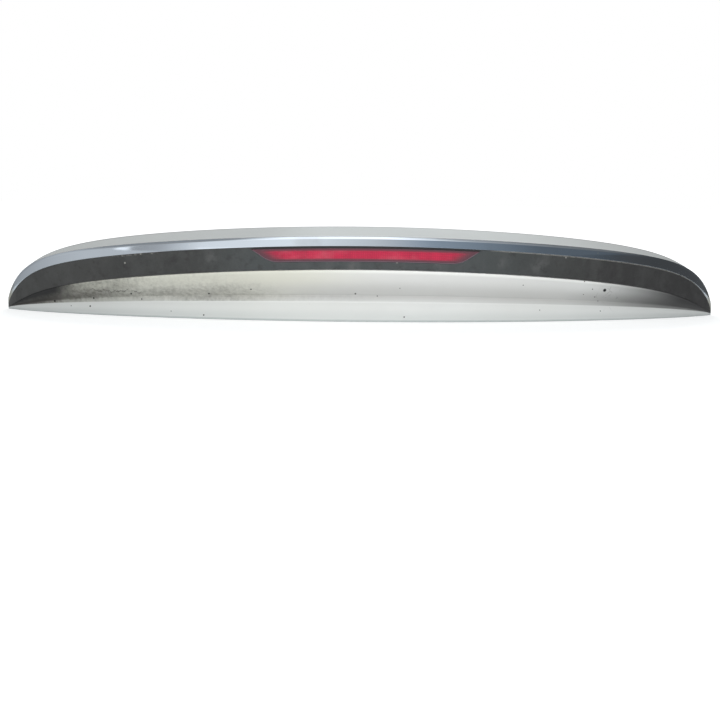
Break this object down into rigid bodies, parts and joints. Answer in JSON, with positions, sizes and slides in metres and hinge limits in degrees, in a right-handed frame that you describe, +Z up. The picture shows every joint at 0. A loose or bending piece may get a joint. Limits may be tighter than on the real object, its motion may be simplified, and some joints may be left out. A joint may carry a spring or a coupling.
{
  "type": "car tailgate spoiler",
  "caption": "Crescent tailgate spoiler with painted shells, a gloss trailing edge, a matte rear band and a flush red brake light, held by studs.",
  "frame": {"origin": "midway between the two inner mounting studs, on the flat seats of their pads", "axes": "+X to the right as seen from behind the car, +Y forward, +Z up; the studs point along -Z"},
  "size_m": [1.297, 0.203, 0.156],
  "materials": {
    "body_paint": "white clear-coated paint, dusty",
    "edge_gloss": "dark chrome look, polished",
    "band_grain": "fine grain, scuffed",
    "bond_tape": "foam tape",
    "lens_red": "smoked red, clear",
    "optic_red": "fine prisms",
    "led_face": "satin",
    "lamp_board": "lacquered",
    "lamp_body": "plain moulded",
    "soft_foam": "closed-cell foam",
    "screw_steel": "zinc plated",
    "stud_steel": "zinc plated",
    "grommet_rubber": "plain moulded"
  },
  "bodies": {
    "root": {"upper_shell": "body_paint", "lower_shell": "body_paint", "edge_strip": "edge_gloss", "rear_band": "band_grain", "edge_tape": "bond_tape", "band_tape_left": "bond_tape", "band_tape_right": "bond_tape", "band_tape_lower": "bond_tape", "lamp_lens": "lens_red", "lamp_optic": "optic_red", "lamp_leds": "led_face", "lamp_board": "lamp_board", "lamp_housing": "lamp_body", "lamp_gasket": "soft_foam", "lamp_screws": "screw_steel", "shell_screws": "screw_steel", "mounting_studs": "stud_steel", "stud_seals": "soft_foam", "cable_grommet": "grommet_rubber", "front_seal": "soft_foam"}
  },
  "joints": []
}
